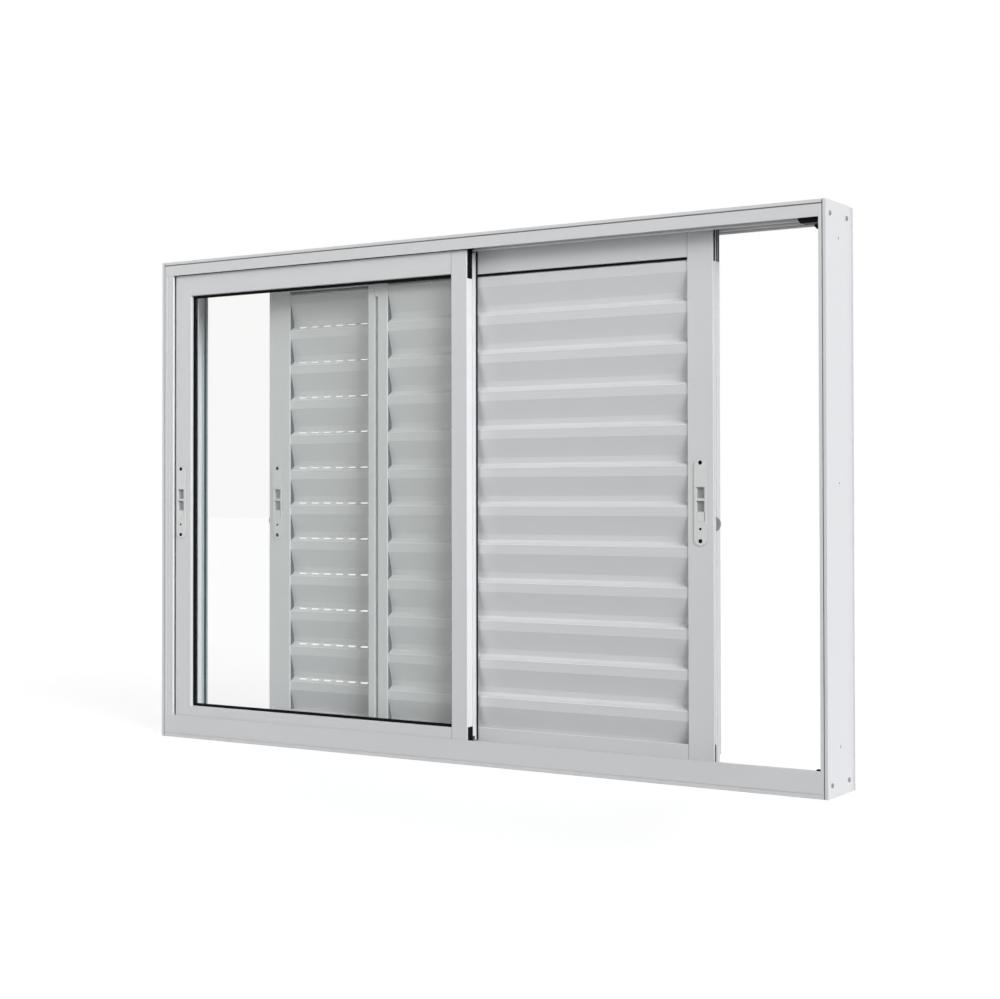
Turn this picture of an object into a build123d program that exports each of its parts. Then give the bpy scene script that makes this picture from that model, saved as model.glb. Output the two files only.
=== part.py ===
from build123d import *
from math import ceil
import os

os.makedirs("parts", exist_ok=True)

# A white aluminium window with three sliding leaves, one behind the other:
# a glazed leaf, a closed louvre leaf and a vented louvre leaf.
# Millimetres. X runs along the window, Y from the room to the outside, Z up.
# The origin is at the middle of the foot of the sill.
# A depth is measured from the room face of the frame, towards the outside.

# Outer frame
frame_width = 1500
frame_height = 1000
frame_depth = 120
frame_wall = 1.6
front_wall = 2.0
head_height = 29
sill_height = 46.4
track_pitch = 33
track_count = 3
sill_fin_step = 5
drip_edge_height = 12
head_back_drop = 10
lip_height = 5.6
groove_width = 2.4
groove_depth = 1.2

# Jambs
jamb_lip_width = 5.4
jamb_flange_width = 13.2
jamb_rib_length = 12
back_strip_depth = 17
back_strip_lean = 6
fixing_hole_diameter = 5
fixing_hole_depth = 55
fixing_hole_from_foot = 82
fixing_hole_middle = 525
fixing_hole_from_top = 61

# Rails that the rollers run on
roller_rail_width = 3
roller_rail_height = 12

# Leaves
running_gap = 5
leaf_wall = 1.5
stile_depth = 25
rail_depth = 20
leaf_foot = 18
bottom_rail_height = 49
top_rail_height = 66.9
pocket_depth = 12
seat_gap = 0.3
edge_bevel = 1

# Glazed leaf: how far it is slid from the left jamb, and its width beyond half of the frame
glass_slid = 30.7
glass_extra_width = -7.5
glass_lock_stile_width = 43
glass_meeting_stile_width = 36.8
bead_depth = 7
pane_thickness = 4
pane_setback = 9.5
pane_insert = 8
gasket_width = 5.5
gasket_bevel = 1.2
back_gasket_width = 3

# Closed louvre leaf: the same, from the right jamb
inner_slid = 225.3
inner_extra_width = 6
inner_meeting_stile_width = 48
inner_lock_stile_width = 51.6

# Vented louvre leaf: the same, from the left jamb
outer_slid = 232.9
outer_extra_width = 7
outer_meeting_stile_width = 48
outer_lock_stile_width = 56

# Grooves of the stiles
interlock_strip_width = 15.6
interlock_groove_width = 8.6
interlock_groove_depth = 10
side_groove_depth = 2
cap_groove_near = 1
cap_groove_width = 3
hook_groove_near = 8
hook_groove_width = 4
brush_groove_near = 16.5
brush_groove_width = 3.5
brush_strip_width = 2.5
brush_strip_reach = 1.4

# Louvre slats
slat_pitch = 72.25
slat_first_drop = 4.8
slat_wall = 1.2
slat_gap = 0.6
slat_crest = 3.1
slat_crest_lean = 1.6
slat_nose = 19.9
slat_recess = 10
slat_return = 11.3
slat_return_lean = 1.2
slat_shelf = 5.2
slat_shelf_foot = 0.5
slat_tongue = 3
slat_insert = 9
slot_length = 19
slot_pitch = 31.5
slot_width = 5.8
slot_row_inset = 10

# Handles and latches
plate_width = 25
plate_length = 153
plate_thickness = 1.5
plate_centre_height = 493
plate_window_width = 17
plate_window_length = 60.6
plate_window_drop = 3.2
glass_plate_inset = 15.7
inner_plate_inset = 25.9
outer_plate_inset = 23
housing_wall = 1.2
housing_depth = 8
slider_play = 0.3
slider_wall = 1.2
scoop_depth = 6
scoop_length = 21.5
scoop_ledge = 4
latch_drop = 38
latch_length = 25
latch_thickness = 3.4
latch_reach = 8

# Guides, caps and rollers
guide_length = 30
guide_height = 14
guide_play = 1
guide_drop = 6
cap_thickness = 0.8
top_cap_length = 70.8
foot_cap_top = 70
foot_cap_length = 40
wheel_radius = 9
wheel_groove_depth = 1.5
wheel_width = 8
axle_radius = 2
axle_play = 0.05
carriage_length = 50
carriage_height = 19
carriage_inset = 70
wheel_room = 1

# End stops
head_stop_length = 51
head_stop_drop = 8.7
second_stop_length = 35.4
second_stop_drop = 15
stop_bevel = 5
stop_depth = 22
sill_stop_length = 22
sill_stop_depth = 8

plate_window_height = plate_centre_height - plate_window_drop
latch_height = plate_centre_height - latch_drop
half_width = frame_width / 2
jamb_inside = half_width - frame_wall
head_foot = frame_height - head_height
leaf_top = frame_height - frame_wall - running_gap
bottom_rail_top = leaf_foot + bottom_rail_height
top_rail_foot = leaf_top - top_rail_height
leaf_fronts = [front_wall + running_gap + track_pitch * n for n in range(track_count)]
glass_front, inner_front, outer_front = leaf_fronts
fin_depths = [track_pitch * (n + 1) for n in range(track_count)]
jamb_cover = jamb_lip_width + groove_width
channel_foot = head_foot - running_gap
channel_top = sill_height + running_gap
back_lip = stile_depth - leaf_wall

glass_left = glass_slid - jamb_inside
glass_right = glass_left + half_width + glass_extra_width
inner_right = jamb_inside - inner_slid
inner_left = inner_right - half_width - inner_extra_width
outer_left = outer_slid - jamb_inside
outer_right = outer_left + half_width + outer_extra_width


def at_depth(depth):
    """Y of a depth measured from the room face of the frame."""
    return depth - frame_depth / 2


def save(piece, name):
    piece.label = name
    export_step(piece, f"parts/{name}.step")


def jamb_outline():
    """What a jamb takes up at the right end of the head and the sill."""
    back_turn = frame_depth - back_strip_depth
    return [
        (half_width - jamb_cover, at_depth(0)),
        (half_width - jamb_cover, at_depth(front_wall)),
        (jamb_inside, at_depth(front_wall)),
        (jamb_inside, at_depth(back_turn)),
        (jamb_inside - back_strip_lean, at_depth(frame_depth)),
        (half_width, at_depth(frame_depth)),
        (half_width, at_depth(0)),
    ]


# Head: a front fascia with a plaster groove, a top web and three fins that part the tracks
with BuildPart() as head_track:
    with BuildSketch(Plane.YZ.offset(-half_width)):
        with Locations((0, frame_height)):
            Rectangle(frame_depth, frame_wall, align=(Align.CENTER, Align.MAX))
        with Locations((at_depth(0), frame_height)):
            Rectangle(front_wall, head_height, align=(Align.MIN, Align.MAX))
        with Locations((at_depth(frame_depth), frame_height)):
            Rectangle(frame_wall, head_back_drop, align=(Align.MAX, Align.MAX))
        with Locations([(at_depth(depth), frame_height) for depth in fin_depths]):
            Rectangle(frame_wall, head_height, align=(Align.CENTER, Align.MAX))
        with Locations((at_depth(0), frame_height - lip_height)):
            Rectangle(groove_depth, groove_width, align=(Align.MIN, Align.MAX), mode=Mode.SUBTRACT)
    extrude(amount=frame_width)
    with BuildSketch(Plane.XY.offset(head_foot)):
        with BuildLine():
            Polyline(*jamb_outline(), close=True)
        make_face()
        mirror(about=Plane.YZ)
    extrude(amount=head_height, mode=Mode.SUBTRACT)

save(head_track.part, "head_track")

# Sill: fins that step down towards the outside, and a rail under each leaf's rollers
with BuildPart() as sill_track:
    with BuildSketch(Plane.YZ.offset(-half_width)):
        Rectangle(frame_depth, frame_wall, align=(Align.CENTER, Align.MIN))
        with Locations((at_depth(0), 0)):
            Rectangle(front_wall, sill_height, align=(Align.MIN, Align.MIN))
        with Locations((at_depth(frame_depth), 0)):
            Rectangle(frame_wall, drip_edge_height, align=(Align.MAX, Align.MIN))
        for number, depth in enumerate(fin_depths):
            with Locations((at_depth(depth), 0)):
                fin_height = sill_height - sill_fin_step * (number + 1)
                Rectangle(frame_wall, fin_height, align=(Align.CENTER, Align.MIN))
        for front in leaf_fronts:
            with Locations((at_depth(front + rail_depth / 2), 0)):
                Rectangle(roller_rail_width, roller_rail_height, align=(Align.CENTER, Align.MIN))
        with Locations((at_depth(0), lip_height)):
            Rectangle(groove_depth, groove_width, align=(Align.MIN, Align.MIN), mode=Mode.SUBTRACT)
    extrude(amount=frame_width)
    with BuildSketch(Plane.XY):
        with BuildLine():
            Polyline(*jamb_outline(), close=True)
        make_face()
        mirror(about=Plane.YZ)
    extrude(amount=sill_height, mode=Mode.SUBTRACT)

save(sill_track.part, "sill_track")


def make_jamb(side):
    """A jamb: outer lip, groove, flange, web with three ribs, and a leaning strip at the back."""
    back_turn = frame_depth - back_strip_depth
    fixing_heights = (fixing_hole_from_foot, fixing_hole_middle, frame_height - fixing_hole_from_top)
    with BuildPart() as jamb:
        with BuildSketch(Plane.XY):
            with BuildLine():
                Polyline(
                    (half_width, at_depth(0)),
                    (half_width, at_depth(back_turn)),
                    (half_width - back_strip_lean, at_depth(frame_depth)),
                    (jamb_inside - back_strip_lean, at_depth(frame_depth)),
                    (jamb_inside, at_depth(back_turn)),
                    (jamb_inside, at_depth(front_wall)),
                    (half_width - jamb_cover, at_depth(front_wall)),
                    (half_width - jamb_cover, at_depth(groove_depth)),
                    (half_width - jamb_lip_width, at_depth(groove_depth)),
                    (half_width - jamb_lip_width, at_depth(0)),
                    close=True,
                )
            make_face()
        extrude(amount=frame_height)
        with BuildSketch(Plane.XY.offset(sill_height)):
            with Locations((half_width - jamb_cover, at_depth(0))):
                Rectangle(jamb_flange_width - jamb_cover, front_wall, align=(Align.MAX, Align.MIN))
            with Locations([(jamb_inside, at_depth(depth)) for depth in fin_depths]):
                Rectangle(jamb_rib_length, frame_wall, align=(Align.MAX, Align.CENTER))
        extrude(amount=head_foot - sill_height)
        with Locations(Plane.YZ.offset(half_width)):
            with Locations([(at_depth(fixing_hole_depth), height) for height in fixing_heights]):
                Hole(fixing_hole_diameter / 2, depth=frame_wall)
        if side < 0:
            mirror(about=Plane.YZ, mode=Mode.REPLACE)
    return jamb.part


save(make_jamb(-1), "left_jamb")
save(make_jamb(1), "right_jamb")


def area(start, end, near, far, mode=Mode.ADD):
    """A rectangle of a stile's section: across from its outer edge, and back from its face."""
    with Locations((start, near)):
        Rectangle(end - start, far - near, align=(Align.MIN, Align.MIN), mode=mode)


def draw_pocket(width, tube_start, pocket_near=leaf_wall):
    """The hollow tube of a stile, and the pocket on its inner side for glass or slats."""
    area(tube_start, width - pocket_depth - leaf_wall, leaf_wall, back_lip, Mode.SUBTRACT)
    area(width - pocket_depth, width, pocket_near, back_lip, Mode.SUBTRACT)
    if pocket_near > leaf_wall:
        # Where the pocket starts behind a bead, the bead is hollow too
        bead_far = pocket_near - leaf_wall
        area(width - pocket_depth, width - leaf_wall, leaf_wall, bead_far, Mode.SUBTRACT)


def draw_lock(width, pocket_near=leaf_wall):
    """A lock stile: the outer side has a groove for the caps and one for the hook."""
    draw_pocket(width, side_groove_depth + leaf_wall, pocket_near)
    for near, wide in ((cap_groove_near, cap_groove_width), (hook_groove_near, hook_groove_width)):
        area(0, side_groove_depth, near, near + wide, Mode.SUBTRACT)


def draw_glass_lock(width):
    """The glazed leaf's lock stile: its pocket starts behind the glazing bead."""
    draw_lock(width, bead_depth)


def draw_brush_holder(width):
    """The glazed leaf's meeting stile: a brush groove and a strip that stands out at the back."""
    draw_pocket(width, side_groove_depth + leaf_wall, bead_depth)
    brush_groove_far = brush_groove_near + brush_groove_width
    area(0, side_groove_depth, brush_groove_near, brush_groove_far, Mode.SUBTRACT)
    area(0, brush_strip_width, stile_depth, stile_depth + brush_strip_reach)


def draw_interlock(width):
    """A louvre leaf's meeting stile: a strip and the main face, with a deep groove between them."""
    groove_end = interlock_strip_width + interlock_groove_width
    wall_start = interlock_strip_width - leaf_wall
    draw_pocket(width, leaf_wall)
    area(wall_start, groove_end + leaf_wall, leaf_wall, interlock_groove_depth + leaf_wall)
    area(interlock_strip_width, groove_end, 0, interlock_groove_depth, Mode.SUBTRACT)


def make_stile(left, right, front, inward, draw, plate_inset=0):
    """A stile. inward is 1 where its inner side is the right, or -1 where it is the left."""
    width = right - left
    with BuildPart() as stile:
        with BuildSketch(Plane((left, at_depth(front), leaf_foot))) as section:
            area(0, width, 0, stile_depth)
            chamfer(section.vertices().group_by(Axis.Y)[0], edge_bevel)
            draw(width)
        extrude(amount=leaf_top - leaf_foot)
        # Both ends are cut thinner, to run between the fins of the head and the sill
        thin_ends = ((leaf_foot, channel_top), (channel_foot, leaf_top))
        for foot, top in thin_ends:
            with Locations((left, at_depth(front + rail_depth), foot)):
                Box(width, stile_depth, top - foot, align=Align.MIN, mode=Mode.SUBTRACT)
        if plate_inset:
            with Locations((left + plate_inset, at_depth(front), plate_window_height)):
                Box(
                    plate_window_width + 2 * (housing_wall + seat_gap),
                    leaf_wall,
                    plate_window_length + 2 * (housing_wall + seat_gap),
                    align=(Align.CENTER, Align.MIN, Align.CENTER),
                    mode=Mode.SUBTRACT,
                )
        if inward < 0:
            mirror(about=Plane.YZ.offset((left + right) / 2), mode=Mode.REPLACE)
    return stile.part


def make_rail(left, right, front, foot, top, upward, pocket_near):
    """A hollow rail. upward is 1 on a bottom rail, whose pocket is on its upper side."""
    pocket_edge, open_edge = (top, foot) if upward > 0 else (foot, top)
    tube_near = pocket_edge - upward * (pocket_depth + leaf_wall)
    tube_far = tube_near - upward * (pocket_depth - leaf_wall)
    channel_near = tube_far - upward * leaf_wall
    pocket_bed = pocket_edge - upward * pocket_depth
    rail_back_lip = rail_depth - leaf_wall
    hollows = [
        (pocket_edge, pocket_bed, pocket_near, rail_back_lip),
        (tube_near, tube_far, leaf_wall, rail_back_lip),
        (channel_near, open_edge, leaf_wall, rail_back_lip),
    ]
    if pocket_near > leaf_wall:
        # Where the pocket starts behind a bead, the bead is hollow too
        bead_edge = pocket_edge - upward * leaf_wall
        hollows.append((bead_edge, pocket_bed, leaf_wall, pocket_near - leaf_wall))
    with BuildPart() as rail:
        with BuildSketch(Plane.YZ.offset(left)) as section:
            with Locations((at_depth(front + rail_depth / 2), (foot + top) / 2)):
                Rectangle(rail_depth, top - foot)
            chamfer(section.vertices().group_by(Axis.X)[0], edge_bevel)
            for start, end, near, far in hollows:
                with Locations((at_depth(front + (near + far) / 2), (start + end) / 2)):
                    Rectangle(far - near, abs(start - end), mode=Mode.SUBTRACT)
        extrude(amount=right - left)
    return rail.part


def save_rails(name, front, left, right, pocket_near=leaf_wall):
    """The top and bottom rails between two stiles."""
    top_rail = make_rail(left, right, front, top_rail_foot, leaf_top, -1, pocket_near)
    bottom_rail = make_rail(left, right, front, leaf_foot, bottom_rail_top, 1, pocket_near)
    save(top_rail, f"{name}_top_rail")
    save(bottom_rail, f"{name}_bottom_rail")


# Glazed leaf
glass_inner_left = glass_left + glass_lock_stile_width
glass_inner_right = glass_right - glass_meeting_stile_width
save(
    make_stile(glass_left, glass_inner_left, glass_front, 1, draw_glass_lock, glass_plate_inset),
    "glass_lock_stile",
)
save(
    make_stile(glass_inner_right, glass_right, glass_front, -1, draw_brush_holder),
    "glass_meeting_stile",
)
save_rails("glass", glass_front, glass_inner_left, glass_inner_right, bead_depth)

pane_front = glass_front + pane_setback
opening_width = glass_inner_right - glass_inner_left
opening_height = top_rail_foot - bottom_rail_top
opening_centre_x = (glass_inner_left + glass_inner_right) / 2
opening_centre_z = (top_rail_foot + bottom_rail_top) / 2

with BuildPart() as glass_pane:
    with Locations((opening_centre_x, at_depth(pane_front), opening_centre_z)):
        Box(
            opening_width + 2 * pane_insert,
            pane_thickness,
            opening_height + 2 * pane_insert,
            align=(Align.CENTER, Align.MIN, Align.CENTER),
        )

save(glass_pane.part, "glass_pane")


def make_gasket(start, thickness, cover, bevel=0):
    """A rubber ring round the pane, from inside the pockets to a little way over the glass."""
    with BuildPart() as gasket:
        with BuildSketch(Plane.XZ.offset(-at_depth(start))):
            with Locations((opening_centre_x, opening_centre_z)):
                Rectangle(opening_width + pane_insert, opening_height + pane_insert)
                Rectangle(opening_width - 2 * cover, opening_height - 2 * cover, mode=Mode.SUBTRACT)
        extrude(amount=-thickness)
        if bevel:
            front_face = gasket.faces().sort_by(Axis.Y)[0]
            chamfer(front_face.inner_wires()[0].edges(), bevel)
    return gasket.part


front_gasket_start = glass_front + bead_depth
front_gasket_depth = pane_front - front_gasket_start
back_gasket_start = pane_front + pane_thickness
back_gasket_depth = glass_front + rail_depth - leaf_wall - back_gasket_start
save(
    make_gasket(front_gasket_start, front_gasket_depth, gasket_width, gasket_bevel),
    "glass_front_gasket",
)
save(make_gasket(back_gasket_start, back_gasket_depth, back_gasket_width), "glass_back_gasket")


def make_slat(left, right, front, vented):
    """One folded slat, drawn down from the height of its crest to the tongue at its foot."""
    nose = at_depth(front) + leaf_wall + seat_gap + slat_wall / 2
    deepest = nose + slat_recess + slat_return_lean
    tongue = nose + slat_crest_lean + slat_wall + slat_gap
    shelf_end = slat_shelf_foot - slat_pitch
    shelf_start = shelf_end + slat_shelf
    with BuildPart() as slat:
        with BuildSketch(Plane.YZ.offset(left - slat_insert)):
            with BuildLine():
                Polyline(
                    (nose + slat_crest_lean, 0),
                    (nose, -slat_crest),
                    (nose, -slat_nose),
                    (nose + slat_recess, shelf_start + slat_return),
                    (deepest, shelf_start),
                    (tongue, shelf_end),
                    (tongue, -slat_pitch - slat_tongue),
                )
            trace(line_width=slat_wall)
        extrude(amount=right - left + 2 * slat_insert)
        if vented:
            row_length = right - left - 2 * slot_row_inset
            slot_count = int((row_length - slot_length) // slot_pitch) + 1
            shelf_middle = ((left + right) / 2, (deepest + tongue) / 2, (shelf_start + shelf_end) / 2)
            with Locations(shelf_middle):
                with GridLocations(slot_pitch, slot_width, slot_count, 1):
                    Box(slot_length, slot_width, slat_shelf + 2 * slat_wall, mode=Mode.SUBTRACT)
    return slat.part


def make_slats(left, right, front, vented):
    """Slats that lock behind each other. Each one's tongue goes behind the next one's crest."""
    first_crest = top_rail_foot - slat_first_drop
    pocket_bed_top = top_rail_foot + pocket_depth - seat_gap
    pocket_bed_foot = bottom_rail_top - pocket_depth + seat_gap
    slat_count = ceil((first_crest - pocket_bed_foot) / slat_pitch)
    crests = [first_crest - slat_pitch * number for number in range(-1, slat_count)]
    with BuildPart() as slats:
        with Locations([(0, 0, crest) for crest in crests[:-1]]):
            add(make_slat(left, right, front, vented))
        # The shelf of the lowest slat is down in the rail's pocket and has no slots
        with Locations((0, 0, crests[-1])):
            add(make_slat(left, right, front, False))
        # The slats at both ends are cut to fit the pockets of the rails
        split(bisect_by=Plane.XY.offset(pocket_bed_top), keep=Keep.BOTTOM)
        split(bisect_by=Plane.XY.offset(pocket_bed_foot), keep=Keep.TOP)
    return slats.part


def make_plate(x, front):
    """A latch plate with round ends, and behind its window the housing of the thumb slider."""
    window_middle = (x, plate_window_height)
    with BuildPart() as plate:
        with BuildSketch(Plane.XZ.offset(-at_depth(front))):
            with Locations((x, plate_centre_height)):
                SlotOverall(plate_length, plate_width, rotation=90)
        extrude(amount=plate_thickness)
        with BuildSketch(Plane.XZ.offset(-at_depth(front))):
            with Locations(window_middle):
                Rectangle(plate_window_width + 2 * housing_wall, plate_window_length + 2 * housing_wall)
        extrude(amount=-housing_depth)
        with BuildSketch(Plane.XZ.offset(-at_depth(front - plate_thickness))):
            with Locations(window_middle):
                Rectangle(plate_window_width, plate_window_length)
        extrude(amount=-(plate_thickness + housing_depth), mode=Mode.SUBTRACT)
    return plate.part


def make_slider(x, front):
    """The thumb slider: two scoops, deep at the top, that run out to the face of the plate."""
    width = plate_window_width - 2 * slider_play
    top = plate_window_height + plate_window_length / 2 - slider_play
    foot = plate_window_height - plate_window_length / 2 + slider_play
    ledge_top = top - scoop_length
    ledge_foot = ledge_top - scoop_ledge
    face = at_depth(front - plate_thickness)
    bed = face + scoop_depth
    with BuildPart() as slider:
        with BuildSketch(Plane.YZ.offset(x - width / 2)):
            with BuildLine():
                Polyline(
                    (bed, top),
                    (face, ledge_top),
                    (face, ledge_foot),
                    (bed, ledge_foot),
                    (face, ledge_foot - scoop_length),
                    (face, foot),
                    (bed + slider_wall, foot),
                    (bed + slider_wall, top),
                    close=True,
                )
            make_face()
        extrude(amount=width)
    return slider.part


def make_latch(edge, front, outward):
    """The hook that leaves the side groove of a lock stile: a half disc."""
    root = edge - outward * side_groove_depth
    start = front + hook_groove_near + (hook_groove_width - latch_thickness) / 2
    with BuildPart() as latch:
        with BuildSketch(Plane.XZ.offset(-at_depth(start))):
            with BuildLine():
                head = (root, latch_height + latch_length / 2)
                foot = (root, latch_height - latch_length / 2)
                ThreePointArc(head, (edge + outward * latch_reach, latch_height), foot)
                Line(foot, head)
            make_face()
        extrude(amount=-latch_thickness)
    return latch.part


def draw_cap(side, outward, near, wide, thickness):
    """A plastic cap at the top and one at the foot of a stile's outer side."""
    align = (Align.MIN if outward > 0 else Align.MAX, Align.MIN, Align.MAX)
    tops = ((leaf_top - guide_drop, top_cap_length), (foot_cap_top, foot_cap_length))
    for top, length in tops:
        with Locations((side, at_depth(near), top)):
            Box(thickness, wide, length, align=align)


def make_guides(left, right, number, lock_side):
    """Plastic pads that keep a leaf between two fins, and the caps of its sides."""
    front = leaf_fronts[number]
    near = front_wall if number == 0 else track_pitch * number + frame_wall / 2
    far = track_pitch * (number + 1) - frame_wall / 2
    pads = ((near + guide_play, front), (front + rail_depth, far - guide_play))
    with BuildPart() as guides:
        for x in (left + guide_length / 2, right - guide_length / 2):
            for start, end in pads:
                with Locations((x, at_depth(start), leaf_top - guide_drop)):
                    Box(
                        guide_length,
                        end - start,
                        guide_height,
                        align=(Align.CENTER, Align.MIN, Align.MAX),
                    )
        lock_edge = left if lock_side < 0 else right
        cap_root = lock_edge - lock_side * side_groove_depth
        draw_cap(cap_root, lock_side, front + cap_groove_near, cap_groove_width, side_groove_depth)
        if number == 0:
            cap_start = front + edge_bevel
            draw_cap(right, 1, cap_start, brush_groove_near - edge_bevel, cap_thickness)
    return guides.part


# The rail's two edges meet the slopes of the roller's groove
contact_drop = wheel_groove_depth * (1 - roller_rail_width / wheel_width)
axle_height = roller_rail_height + seat_gap + wheel_radius - contact_drop


def make_carriages(left, right, front):
    """The blocks in the foot of the bottom rail, each with the axle of a roller."""
    centre_depth = at_depth(front + rail_depth / 2)
    width = rail_depth - 2 * leaf_wall - 2 * seat_gap
    with BuildPart() as carriages:
        for x in (left + carriage_inset, right - carriage_inset):
            with Locations((x, centre_depth, leaf_foot)):
                Box(
                    carriage_length,
                    width,
                    carriage_height,
                    align=(Align.CENTER, Align.CENTER, Align.MIN),
                )
                Box(
                    2 * (wheel_radius + wheel_room),
                    wheel_width + 2 * wheel_room,
                    axle_height + wheel_radius + wheel_room - leaf_foot,
                    align=(Align.CENTER, Align.CENTER, Align.MIN),
                    mode=Mode.SUBTRACT,
                )
            with Locations(Plane((x, centre_depth, axle_height), z_dir=(0, 1, 0))):
                Cylinder(axle_radius, width)
    return carriages.part


def make_wheels(left, right, front):
    """Grooved rollers that run on the rail of the sill."""
    centre_depth = at_depth(front + rail_depth / 2)
    bore = axle_radius + axle_play
    with BuildPart() as wheels:
        for x in (left + carriage_inset, right - carriage_inset):
            with BuildSketch(Plane((x, centre_depth, axle_height), x_dir=(0, 0, 1), z_dir=(-1, 0, 0))):
                with BuildLine():
                    Polyline(
                        (bore, -wheel_width / 2),
                        (wheel_radius, -wheel_width / 2),
                        (wheel_radius - wheel_groove_depth, 0),
                        (wheel_radius, wheel_width / 2),
                        (bore, wheel_width / 2),
                        close=True,
                    )
                make_face()
            revolve(axis=Axis((x, centre_depth, axle_height), (0, 1, 0)))
    return wheels.part


def save_fittings(name, number, left, right, lock_side, plate_inset):
    """The latch, guides, caps and rollers of a leaf. lock_side is -1 where it locks on the left."""
    front = leaf_fronts[number]
    lock_edge = left if lock_side < 0 else right
    plate_x = lock_edge - lock_side * plate_inset
    save(make_plate(plate_x, front), f"{name}_latch_plate")
    save(make_slider(plate_x, front), f"{name}_thumb_slider")
    save(make_latch(lock_edge, front, lock_side), f"{name}_latch_hook")
    save(make_guides(left, right, number, lock_side), f"{name}_guides")
    save(make_carriages(left, right, front), f"{name}_roller_carriages")
    save(make_wheels(left, right, front), f"{name}_rollers")


save_fittings("glass", 0, glass_left, glass_right, -1, glass_plate_inset)

# Closed louvre leaf: lock stile on the right
inner_slat_left = inner_left + inner_meeting_stile_width
inner_slat_right = inner_right - inner_lock_stile_width
save(
    make_stile(inner_left, inner_slat_left, inner_front, 1, draw_interlock),
    "inner_meeting_stile",
)
save(
    make_stile(inner_slat_right, inner_right, inner_front, -1, draw_lock, inner_plate_inset),
    "inner_lock_stile",
)
save_rails("inner", inner_front, inner_slat_left, inner_slat_right)
save(make_slats(inner_slat_left, inner_slat_right, inner_front, False), "inner_slats")
save_fittings("inner", 1, inner_left, inner_right, 1, inner_plate_inset)

# Vented louvre leaf: lock stile on the left
outer_slat_left = outer_left + outer_lock_stile_width
outer_slat_right = outer_right - outer_meeting_stile_width
save(
    make_stile(outer_left, outer_slat_left, outer_front, 1, draw_lock, outer_plate_inset),
    "outer_lock_stile",
)
save(
    make_stile(outer_slat_right, outer_right, outer_front, -1, draw_interlock),
    "outer_meeting_stile",
)
save_rails("outer", outer_front, outer_slat_left, outer_slat_right)
save(make_slats(outer_slat_left, outer_slat_right, outer_front, True), "outer_slats")
save_fittings("outer", 2, outer_left, outer_right, -1, outer_plate_inset)

# Black stops: one at the right end of each of the two front tracks, one small one on the sill
head_stop_sizes = (
    (glass_front, head_stop_length, head_stop_drop),
    (inner_front, second_stop_length, second_stop_drop),
)
with BuildPart() as head_stops:
    for front, length, drop in head_stop_sizes:
        with BuildSketch(Plane.XZ.offset(-at_depth(front))) as face:
            with Locations((jamb_inside, head_foot - drop)):
                Rectangle(length, head_height - frame_wall + drop, align=(Align.MAX, Align.MIN))
            chamfer(face.vertices().group_by(Axis.X)[0].sort_by(Axis.Y)[0], stop_bevel)
        extrude(amount=-stop_depth)

save(head_stops.part, "head_stops")

with BuildPart() as sill_stop:
    with Locations((jamb_inside, at_depth(glass_front), frame_wall)):
        Box(sill_stop_length, sill_stop_depth, sill_height, align=(Align.MAX, Align.MIN, Align.MIN))

save(sill_stop.part, "sill_stop")
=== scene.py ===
import math
import random

import bmesh
import bpy
from mathutils import Matrix, Vector


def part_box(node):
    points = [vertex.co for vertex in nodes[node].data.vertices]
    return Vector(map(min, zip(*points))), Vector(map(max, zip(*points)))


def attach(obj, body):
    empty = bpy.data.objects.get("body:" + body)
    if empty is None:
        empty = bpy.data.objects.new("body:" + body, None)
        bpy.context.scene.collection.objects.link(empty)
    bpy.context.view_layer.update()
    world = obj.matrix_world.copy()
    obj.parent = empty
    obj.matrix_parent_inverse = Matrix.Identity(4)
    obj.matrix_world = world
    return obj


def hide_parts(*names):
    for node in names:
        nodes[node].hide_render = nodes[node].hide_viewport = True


# Sliding shutter window: one glazed leaf and two louvre leaves in a three track frame
# metres, X along the window, Y from the room to the outside, Z up

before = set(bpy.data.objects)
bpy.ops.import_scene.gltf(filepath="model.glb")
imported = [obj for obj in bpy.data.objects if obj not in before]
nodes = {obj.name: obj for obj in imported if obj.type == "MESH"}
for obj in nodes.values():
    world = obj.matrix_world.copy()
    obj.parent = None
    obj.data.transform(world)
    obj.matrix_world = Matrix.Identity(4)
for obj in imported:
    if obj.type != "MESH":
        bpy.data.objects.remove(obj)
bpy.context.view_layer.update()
scene = bpy.context.scene
mm = 0.001
print("frame loaded:", len(nodes), "nodes")

bodyOfLeaf = {"glass": "glass_leaf", "inner": "inner_louvre_leaf", "outer": "outer_louvre_leaf"}
louvreLeaves = ("inner", "outer")
jambs = ("left", "right")

# which way each profile was drawn out of the die
alongX = ["head_track", "sill_track", "inner_slats", "outer_slats"]
alongX += [leaf + rail for leaf in bodyOfLeaf for rail in ("_top_rail", "_bottom_rail")]
upright = [jamb + "_jamb" for jamb in jambs]
upright += [leaf + stile for leaf in bodyOfLeaf for stile in ("_lock_stile", "_meeting_stile")]

powderCoat = {
    "colour": (0.79, 0.795, 0.80, 1),
    "shadeVariation": 0.025,
    "cloudSize": 0.11,  # slow shading over the coat
    "roughness": (0.34, 0.46),
    "specular": 0.45,
    "peelSize": 1.3 * mm,  # orange peel of the baked powder
    "peelHeight": 0.012 * mm,
    "dieLineSize": 2.2 * mm,  # faint lines along the extrusion
    "dieLineHeight": 0.006 * mm,
    "edgeRadius": 0.5 * mm,
}

# moulded finishes: colour and sheenColour are the two ends of a slow change of tone
gasketRubber = {
    "colour": (0.003, 0.003, 0.004, 1),
    "sheenColour": (0.007, 0.007, 0.009, 1),
    "roughness": (0.45, 0.62),
    "specular": 0.05,
    "grainSize": 0.9 * mm,
    "grainHeight": 0.02 * mm,
    "edgeRadius": 0.5 * mm,
}

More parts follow.
